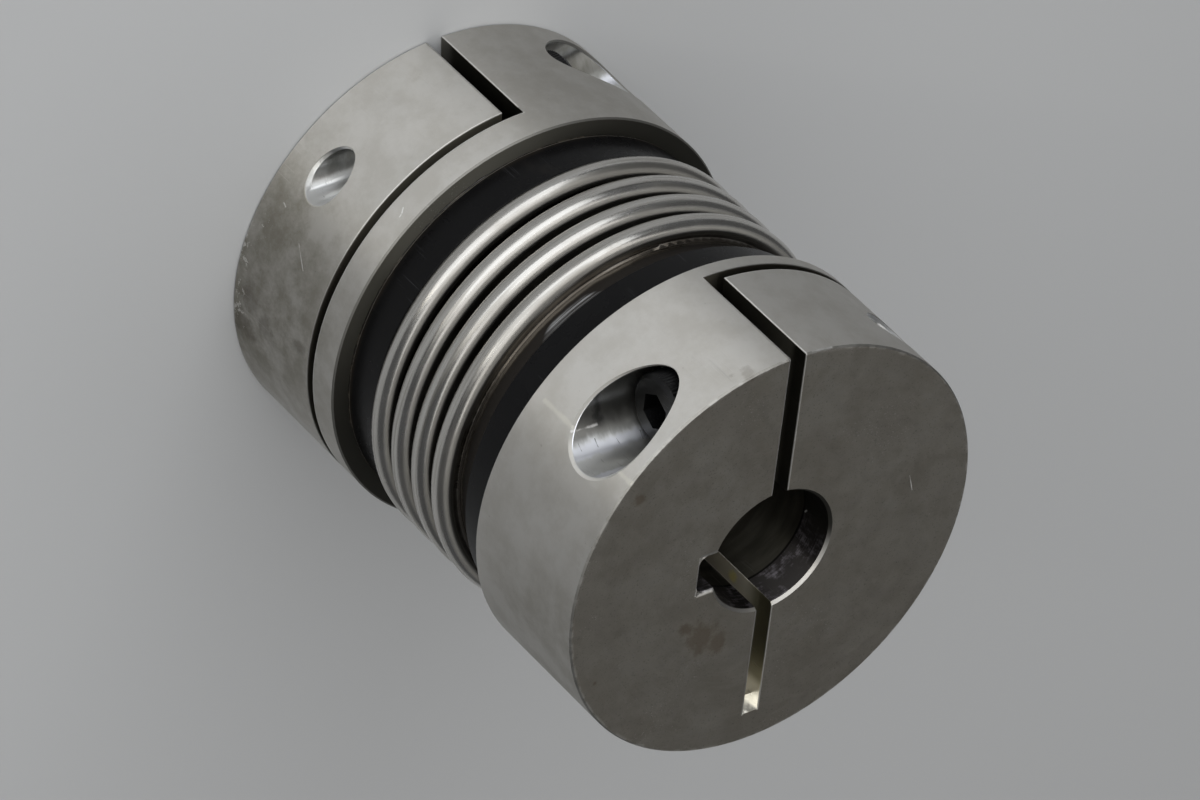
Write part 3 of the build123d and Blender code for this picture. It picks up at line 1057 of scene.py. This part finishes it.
def model_hex_socket():
    """What the hex socket takes out of the head, with the cone that its drill left."""
    socket = add_piece(
        bpy.ops.mesh.primitive_cylinder_add,
        vertices=6,
        radius=HEX_ACROSS_FLATS / 2 / math.cos(math.pi / 6),
        depth=2 * HEX_DEPTH,
        location=(0, 0, HEAD_TOP),
    )
    apply_place()
    enter_edit_mode()
    select_vertices(socket, lambda co: co.z < HEAD_TOP - HEX_DEPTH + 0.1 * MM)
    bpy.ops.mesh.select_mode(type="FACE")
    bpy.ops.mesh.inset(thickness=2.4 * MM)
    bpy.ops.transform.translate(value=(0, 0, -0.9 * MM))
    leave_edit_mode()
    return socket


def model_screw_head():
    """The knurled head, chamfered at its top."""
    head = add_piece(
        bpy.ops.mesh.primitive_cylinder_add,
        vertices=2 * KNURLS,
        radius=HEAD_RADIUS,
        depth=HEAD_HEIGHT,
        location=(0, 0, SHANK_LENGTH + HEAD_HEIGHT / 2),
    )
    apply_place()
    enter_edit_mode()
    select_vertices(head, lambda co: co.z > HEAD_TOP - 0.1 * MM)
    bpy.ops.mesh.select_mode(type="FACE")
    bpy.ops.mesh.inset(thickness=HEAD_CHAMFER)
    leave_edit_mode()
    groove_share = (HEAD_RADIUS - KNURL_DEPTH) / HEAD_RADIUS
    for vertex in head.data.vertices:
        if math.hypot(vertex.co.x, vertex.co.y) < HEAD_RADIUS - 0.01 * MM:
            continue
        if vertex.co.z > HEAD_TOP - 0.1 * MM:
            vertex.co.z = HEAD_TOP - HEAD_CHAMFER * 0.9
        knurl_side = round(math.atan2(vertex.co.y, vertex.co.x) / (math.pi / KNURLS))
        if knurl_side % 2:
            vertex.co.x *= groove_share
            vertex.co.y *= groove_share
    cut_with(head, model_hex_socket())
    return head


def model_screw_thread():
    """The thread's ridge, meant to be cut to a cone at the screw's tip.

    Known fault: the cut leaves only a flat sliver of the ridge, so the screw's shank is plain.
    """
    ridge = thread_ridge(
        root_radius=CORE_RADIUS - 0.05 * MM,
        crest_radius=SCREW_RADIUS - 0.02 * MM,
        crest_width=0.18 * THREAD_PITCH,
        length=SHANK_LENGTH - 2.6 * MM,
    )
    ridge.location.z = 1.0 * MM
    apply_place()
    lead_in = add_piece(
        bpy.ops.mesh.primitive_cone_add,
        vertices=64,
        radius1=SCREW_RADIUS - TIP_CHAMFER,
        radius2=SCREW_RADIUS + 12 * MM - TIP_CHAMFER,
        depth=12 * MM,
        location=(0, 0, 6 * MM),
    )
    body = add_piece(
        bpy.ops.mesh.primitive_cylinder_add,
        vertices=64,
        radius=6 * MM,
        depth=24 * MM,
        location=(0, 0, 24 * MM),
    )
    cut_with(ridge, join_pieces([lead_in, body]), "INTERSECT")
    return ridge


def model_screw():
    """A socket head cap screw along +Z, its tip at the origin."""
    head = model_screw_head()
    core = add_piece(
        bpy.ops.mesh.primitive_cylinder_add,
        vertices=64,
        radius=CORE_RADIUS,
        depth=SHANK_LENGTH + 0.4 * MM,
        location=(0, 0, SHANK_LENGTH / 2 + 0.2 * MM),
    )
    ridge = model_screw_thread()
    for part in (head, core, ridge):
        clean_mesh(part, 28)
    return join_pieces([head, core, ridge])


SCREW_AXIS_END = Matrix.Translation((SCREW_TIP, SCREW_OFFSET, -SCREW_INSET))
screw_place = SCREW_AXIS_END @ Matrix.Rotation(-math.pi / 2, 4, "Y")
screw = model_screw()
screws = (
    (screw, "socket_screw_upper", upper_frame, "clamp_screw_upper"),
    (copy_piece(screw), "socket_screw_lower", lower_frame, "clamp_screw_lower"),
)
for piece, name, hub_frame, node_name in screws:
    finish_piece(piece, name, screw_material, hub_frame @ screw_place, (node_name,))

# ---- tapped threads -------------------------------------------------------------------

THREAD_CREST_RADIUS = 3.45 * MM
MOUTH_RADIUS = 3.6 * MM
MOUTH_START = 20.5 * MM
LIP_RADIUS = TAPPED_RADIUS + 0.01 * MM


def mouth_loop(radius, below_rim=None):
    """A ring of edges round the screw's axis, on the mouth's inner end or pressed onto the rim."""
    loop = add_piece(
        bpy.ops.mesh.primitive_circle_add,
        vertices=120,
        radius=radius,
        location=(MOUTH_START if below_rim is None else 40 * MM, SCREW_OFFSET, -SCREW_INSET),
        rotation=(0, math.pi / 2, 0),
    )
    apply_place()
    if below_rim is None:
        return loop
    rim = add_piece(
        bpy.ops.mesh.primitive_cylinder_add,
        vertices=720,
        radius=HUB_RADIUS - below_rim,
        depth=60 * MM,
        location=(0, 0, -SCREW_INSET),
    )
    apply_modifier(
        loop,
        "SHRINKWRAP",
        target=rim,
        wrap_method="PROJECT",
        use_project_x=True,
        use_negative_direction=True,
        use_positive_direction=False,
    )
    bpy.data.objects.remove(rim, do_unlink=True)
    return loop


def model_tapped_mouth():
    """The reamed mouth of the tapped hole, a ring bevelled where it meets the hub's rim."""
    lip = mouth_loop(LIP_RADIUS, below_rim=0.13 * MM)
    wall = mouth_loop(MOUTH_RADIUS, below_rim=0.55 * MM)
    inner_end = mouth_loop(MOUTH_RADIUS)
    outer_end = mouth_loop(LIP_RADIUS)
    mouth = join_pieces([lip, wall, inner_end, outer_end])
    middle_radius = (MOUTH_RADIUS + TAPPED_RADIUS) / 2

    def from_screw(place):
        return math.hypot(place.y - SCREW_OFFSET, place.z + SCREW_INSET)

    strips = (
        lambda place: place.x > MOUTH_START + 0.1 * MM,
        lambda place: from_screw(place) < middle_radius,
        lambda place: place.x < MOUTH_START + 0.1 * MM,
        lambda place: from_screw(place) > middle_radius,
    )
    enter_edit_mode()
    for strip in strips:
        select_vertices(mouth, strip)
        bpy.ops.mesh.select_mode(type="EDGE")
        bpy.ops.mesh.bridge_edge_loops()
    leave_edit_mode()
    return mouth


def model_tapped_thread():
    """The thread in the jaw beyond the screw's tip, with the plain mouth that leads to it."""
    start = SCREW_TIP - 0.6 * MM
    ridge = thread_ridge(
        root_radius=TAPPED_RADIUS + 0.03 * MM,
        crest_radius=THREAD_CREST_RADIUS,
        crest_width=0.24 * THREAD_PITCH,
        length=MOUTH_START - start,
    )
    make_active(ridge)
    axis_place = Matrix.Translation((start, SCREW_OFFSET, -SCREW_INSET))
    ridge.matrix_world = axis_place @ Matrix.Rotation(math.pi / 2, 4, "Y")
    apply_place()
    mouth = model_tapped_mouth()
    for part in (ridge, mouth):
        clean_mesh(part, 30)
    return join_pieces([ridge, mouth])


thread = model_tapped_thread()
threads = (
    (thread, "tapped_thread_upper", upper_hub_material, upper_frame),
    (copy_piece(thread), "tapped_thread_lower", lower_hub_material, lower_frame),
)
for piece, name, material, hub_frame in threads:
    finish_piece(piece, name, material, hub_frame)

# ---- ends of the slots ----------------------------------------------------------------


def make_slot_end(name, hub_frame, material, seed):
    """The sloping end that the saw leaves at a slot's bottom, chipped where it meets the face."""
    slope_depth = 2.3 * MM
    slope_run = 1.8 * MM
    width = 2 * SLOT_HALF + 0.04 * MM
    top = -0.05 * MM
    end = add_piece(bpy.ops.mesh.primitive_cube_add, size=1)
    end.dimensions = (width, slope_run + 0.04 * MM, JAW_LENGTH - 0.1 * MM)
    end.location = (0, -SLOT_BOTTOM + slope_run / 2, -JAW_LENGTH / 2)
    apply_place()
    enter_edit_mode()
    select_vertices(end, lambda co: co.z > top - 0.1 * MM and co.y > -SLOT_BOTTOM + slope_run / 2)
    bpy.ops.transform.translate(value=(0, 0, -slope_depth))
    select_vertices(end, lambda co: co.z > top - slope_depth - 0.1 * MM)
    bpy.ops.mesh.select_mode(type="FACE")
    bpy.ops.mesh.subdivide(number_cuts=9)
    leave_edit_mode()
    for vertex in end.data.vertices:
        beside_wall = abs(abs(vertex.co.x) - width / 2) < 0.01 * MM
        share = (vertex.co.y + SLOT_BOTTOM) / slope_run
        if 0.02 < share < 0.98 and vertex.co.z > -slope_depth and not beside_wall:
            chips = noise.noise(vertex.co * 1900 + Vector((seed, 0, 0)))
            vertex.co.z += (0.10 + 0.16 * (1 - share)) * chips * MM
    clean_mesh(end, 24)
    finish_piece(end, name, material, hub_frame)


make_slot_end("slot_end_upper", upper_frame, upper_hub_material, 2.0)
make_slot_end("slot_end_lower", lower_frame, lower_hub_material, 9.0)

# ---- rounded corners of the keyways ---------------------------------------------------


def make_keyway_corners(name, hub_frame, material, length):
    """The rounds that a worn broach leaves in a keyway's two inner corners, a strip in each."""
    round_radius = 2.0 * MM
    embed = 0.03 * MM
    strips = []
    for side in (-1, 1):
        corner_x = -KEYWAY_BOTTOM
        corner_y = side * KEYWAY_HALF
        strip = add_piece(bpy.ops.mesh.primitive_cube_add, size=1)
        strip.dimensions = (round_radius + embed, round_radius + embed, length)
        strip.location = (
            corner_x + (round_radius - embed) / 2,
            corner_y - side * (round_radius - embed) / 2,
            -length / 2 - 0.03 * MM,
        )
        apply_place()
        hollow = add_piece(
            bpy.ops.mesh.primitive_cylinder_add,
            vertices=96,
            radius=round_radius,
            depth=2 * length,
            location=(corner_x + round_radius, corner_y - side * round_radius, -length / 2),
        )
        apply_place()
        cut_with(strip, hollow)
        clean_mesh(strip, 30)
        strips.append(strip)
    finish_piece(join_pieces(strips), name, material, hub_frame)


make_keyway_corners("keyway_corners_upper", upper_frame, upper_hub_material, HUB_DEPTH_UPPER - 0.06 * MM)
make_keyway_corners("keyway_corners_lower", lower_frame, lower_hub_material, HUB_DEPTH_LOWER - 0.06 * MM)

# ---- glue beads -----------------------------------------------------------------------


def make_bead(name, ring_radius, height, thickness, flatten, seed):
    """A thin uneven bead of glue round a ring's edge, thicker here and there."""
    bead = add_piece(
        bpy.ops.mesh.primitive_torus_add,
        major_radius=ring_radius,
        minor_radius=thickness,
        major_segments=256,
        minor_segments=16,
        location=(0, 0, height),
    )
    apply_place()
    for vertex in bead.data.vertices:
        turn = math.atan2(vertex.co.y, vertex.co.x)
        middle = Vector((math.cos(turn) * ring_radius, math.sin(turn) * ring_radius, height))
        slow = noise.noise(Vector((math.cos(turn) * 3 + seed, math.sin(turn) * 3, seed)))
        fast_place = (math.cos(turn) * 26 + seed, math.sin(turn) * 26, seed + vertex.co.z * 900)
        swell = max(0.15, 0.7 + 1.3 * slow + 0.8 * noise.noise(Vector(fast_place)))
        offset = (vertex.co - middle) * swell
        offset.z *= flatten
        vertex.co = middle + offset
    clean_mesh(bead, 60)
    finish_piece(bead, name, glue_material, Matrix.Identity(4))


make_bead("glue_bead_upper", CUFF_RADIUS + 0.28 * MM, ring_upper_low.z + 0.08 * MM, 0.30 * MM, 1.0, 3.7)
make_bead("glue_bead_lower", RING_RADIUS - 0.18 * MM, ring_lower_low.z + 0.10 * MM, 0.22 * MM, 0.9, 11.3)

# ---- floor ----------------------------------------------------------------------------

FLOOR_SIZE = 6.0
floor_material, floor_graph, floor_shader = new_material("pale_floor")
floor_graph.feed(floor_shader.inputs["Base Color"], (0.56, 0.568, 0.576))
floor_shader.inputs["Roughness"].default_value = 0.9
floor_shader.inputs["Specular IOR Level"].default_value = 0.2
floor = add_piece(bpy.ops.mesh.primitive_plane_add, size=FLOOR_SIZE, location=(0, 0, cad_box[0][2]))
floor.name = "floor"
floor.data.materials.append(floor_material)

# ---- light ----------------------------------------------------------------------------

COUPLING_MIDDLE = Vector((0, 0, 0.055))


def softbox(name, azimuth, elevation, distance, width, height, power, colour):
    """A soft lamp aimed at the coupling's middle. Angles are in degrees, and power in watts."""
    turn = math.radians(azimuth)
    lift = math.radians(elevation)
    direction = Vector((math.cos(turn) * math.cos(lift), math.sin(turn) * math.cos(lift), math.sin(lift)))
    lamp = bpy.data.lights.new(name, "AREA")
    lamp.shape = "RECTANGLE"
    lamp.size = width
    lamp.size_y = height
    lamp.energy = power
    lamp.color = colour
    holder = bpy.data.objects.new(name, lamp)
    bpy.context.scene.collection.objects.link(holder)
    holder.visible_camera = False
    holder.location = COUPLING_MIDDLE + direction * distance
    holder.rotation_euler = direction.to_track_quat("Z", "Y").to_euler()


softbox("key_light", 112, 24, distance=1.0, width=1.7, height=0.8, power=6.9, colour=(0.96, 0.98, 1.0))
softbox("top_light", 112, 80, distance=1.3, width=1.9, height=1.9, power=12.0, colour=(1.0, 0.99, 0.97))
softbox("strip_light", 153, 20, distance=1.0, width=0.04, height=0.6, power=0.3, colour=(1.0, 0.94, 0.80))

world = bpy.data.worlds.new("studio")
bpy.context.scene.world = world
world.use_nodes = True
background = world.node_tree.nodes["Background"]
background.inputs["Color"].default_value = (0.95, 0.97, 1.0, 1)
background.inputs["Strength"].default_value = 0.09

# ---- camera ---------------------------------------------------------------------------

CAMERA_PLACE = Vector((-0.71445, 0.85706, 0.94688))
CAMERA_VIEW = Vector((0.49926, -0.60075, -0.62438)).normalized()
CAMERA_UP = Vector((0.27923, 0.79372, -0.54041))
CAMERA_LENS_MM = 249.64
CAMERA_SENSOR_MM = 36
CAMERA_REACH = 20

camera = bpy.data.objects.new("camera", bpy.data.cameras.new("camera"))
bpy.context.scene.collection.objects.link(camera)
camera.data.lens = CAMERA_LENS_MM
camera.data.sensor_width = CAMERA_SENSOR_MM
camera.data.clip_end = CAMERA_REACH
camera_right = CAMERA_VIEW.cross(CAMERA_UP).normalized()
camera_up = camera_right.cross(CAMERA_VIEW)
camera_turn = Matrix((camera_right, camera_up, -CAMERA_VIEW)).transposed().to_4x4()
camera.matrix_world = Matrix.Translation(CAMERA_PLACE) @ camera_turn
bpy.context.scene.camera = camera

bpy.context.scene.view_settings.view_transform = "Standard"
